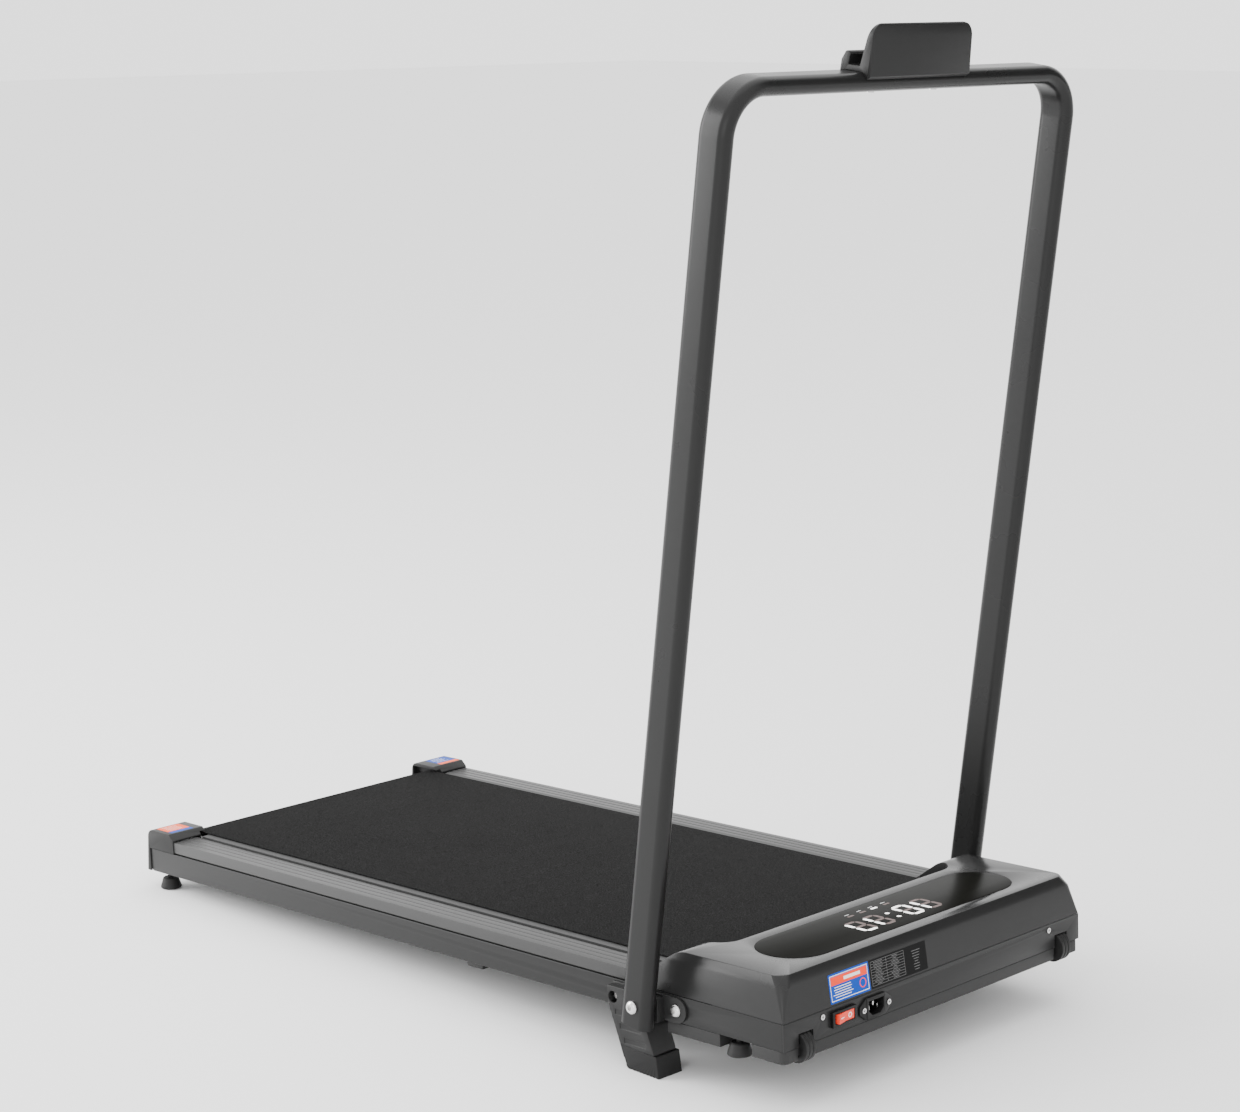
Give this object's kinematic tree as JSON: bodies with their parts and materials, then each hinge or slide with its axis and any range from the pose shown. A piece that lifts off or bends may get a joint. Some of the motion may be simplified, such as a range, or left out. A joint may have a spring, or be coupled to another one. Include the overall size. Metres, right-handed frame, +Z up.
{
  "type": "walking pad treadmill",
  "caption": "Compact under-desk treadmill with a fold-down handlebar, device holder, inclined deck, motor hood with display and transport wheels.",
  "frame": {"origin": "on the floor, under the middle of the whole machine's bounding box", "axes": "+X across the deck to the right of a person walking away from the motor end's back (the walker's left faces +X), +Y from the motor end to the rear roller along the floor, +Z up"},
  "size_m": [0.5738, 1.122, 1.1046],
  "materials": {
    "frame_steel": "fine satin anthracite powder coat",
    "inner_steel": "satin dark grey paint",
    "handlebar_paint": "fine textured anthracite powder coat",
    "rail_plastic": "fine textured grey moulding",
    "hood_plastic": "fine textured grey moulding",
    "cap_plastic": "fine textured dark grey moulding",
    "pan_plastic": "satin dark grey moulding",
    "lens_plastic": "polished black",
    "board_green": "solder-masked circuit board",
    "belt_rubber": "fine diamond texture",
    "deck_wood": "black-faced fibreboard",
    "black_rubber": "matte",
    "roller_steel": "turned",
    "zinc_steel": "zinc plated",
    "cast_pulley": "satin dark grey",
    "motor_black": "satin black enamel",
    "heatsink_aluminium": "as extruded",
    "black_plastic": "satin",
    "rocker_red": "translucent red moulding",
    "boot_rubber": "matte moulded",
    "holder_plastic": "fine textured dark moulding",
    "wheel_rubber": "matte"
  },
  "bodies": {
    "deck": {"side_rail_left": "frame_steel", "side_rail_right": "frame_steel", "front_panel": "frame_steel", "rear_crossbar": "inner_steel", "cross_members": "inner_steel", "bottom_brace": "inner_steel", "foot_rail_left": "rail_plastic", "foot_rail_right": "rail_plastic", "rear_cap_left": "cap_plastic", "rear_cap_right": "cap_plastic", "motor_hood": "hood_plastic", "display_lens": "lens_plastic", "display_board": "board_green", "bottom_pan": "pan_plastic", "deck_board": "deck_wood", "deck_cushions": "black_rubber", "running_belt": "belt_rubber", "front_axle": "zinc_steel", "rear_axle": "zinc_steel", "tension_bolts": "zinc_steel", "axle_brackets": "inner_steel", "motor_body": "motor_black", "motor_bracket": "inner_steel", "drive_belt": "black_rubber", "controller_board": "board_green", "controller_heatsink": "heatsink_aluminium", "power_inlet": "black_plastic", "inlet_pins": "zinc_steel", "panel_screws": "zinc_steel", "switch_body": "black_plastic", "wheel_axles": "zinc_steel", "wheel_brackets": "inner_steel", "foot_nuts": "zinc_steel", "pivot_bolts": "zinc_steel", "bracket_plate_left": "frame_steel", "bracket_plate_right": "frame_steel", "support_leg_left": "frame_steel", "support_leg_right": "frame_steel", "leg_boot_left": "boot_rubber", "leg_boot_right": "boot_rubber", "bracket_bolts": "zinc_steel"},
    "handlebar": {"handlebar": "handlebar_paint", "handlebar_plugs": "black_plastic", "pivot_bushings": "zinc_steel", "device_holder": "holder_plastic", "holder_screws": "zinc_steel"},
    "front_roller": {"front_roller": "roller_steel", "roller_pulley": "cast_pulley", "front_roller_bearings": "zinc_steel"},
    "rear_roller": {"rear_roller": "roller_steel", "rear_roller_bearings": "zinc_steel"},
    "motor_rotor": {"motor_shaft": "zinc_steel", "motor_pulley": "zinc_steel"},
    "switch_rocker": {"switch_rocker": "rocker_red"},
    "wheel_left": {"wheel_left": "wheel_rubber"},
    "wheel_right": {"wheel_right": "wheel_rubber"},
    "foot_front_left": {"foot_front_left": "black_rubber"},
    "foot_front_right": {"foot_front_right": "black_rubber"},
    "foot_rear_left": {"foot_rear_left": "black_rubber"},
    "foot_rear_right": {"foot_rear_right": "black_rubber"}
  },
  "joints": [
    {"name": "handlebar_fold", "type": "hinge", "parent": "deck", "child": "handlebar", "pos_m": [0, -0.36505, 0.08169], "axis": [-1, 0, 0], "range_deg": [0, 99.6]},
    {"name": "rear_roller_spin", "type": "hinge", "parent": "deck", "child": "rear_roller", "pos_m": [0, 0.51823, 0.05019], "axis": [1, 0, 0], "continuous": true},
    {"name": "front_roller_spin", "type": "hinge", "parent": "deck", "child": "front_roller", "pos_m": [0, -0.42779, 0.09315], "axis": [1, 0, 0], "continuous": true},
    {"name": "motor_spin", "type": "hinge", "parent": "deck", "child": "motor_rotor", "pos_m": [0, -0.48957, 0.09956], "axis": [1, 0, 0], "continuous": true},
    {"name": "power_switch", "type": "hinge", "parent": "deck", "child": "switch_rocker", "pos_m": [-0.159, -0.54614, 0.08811], "axis": [0, -0.0454, -0.999], "range_deg": [0, 14]},
    {"name": "wheel_left_spin", "type": "hinge", "parent": "deck", "child": "wheel_left", "pos_m": [-0.217, -0.54399, 0.06949], "axis": [1, 0, 0], "continuous": true},
    {"name": "wheel_right_spin", "type": "hinge", "parent": "deck", "child": "wheel_right", "pos_m": [0.217, -0.54399, 0.06949], "axis": [1, 0, 0], "continuous": true},
    {"name": "foot_front_left_level", "type": "slide", "parent": "deck", "child": "foot_front_left", "axis": [0, -0.0454, -0.999], "range_m": [0, 0.01]},
    {"name": "foot_front_right_level", "type": "slide", "parent": "deck", "child": "foot_front_right", "axis": [0, -0.0454, -0.999], "range_m": [0, 0.01]},
    {"name": "foot_rear_left_level", "type": "slide", "parent": "deck", "child": "foot_rear_left", "axis": [0, -0.0454, -0.999], "range_m": [0, 0.01]},
    {"name": "foot_rear_right_level", "type": "slide", "parent": "deck", "child": "foot_rear_right", "axis": [0, -0.0454, -0.999], "range_m": [0, 0.01]}
  ],
  "couplings": [
    {"joint": "rear_roller_spin", "follows": "front_roller_spin", "ratio": 1},
    {"joint": "motor_spin", "follows": "front_roller_spin", "ratio": 2.4783}
  ]
}
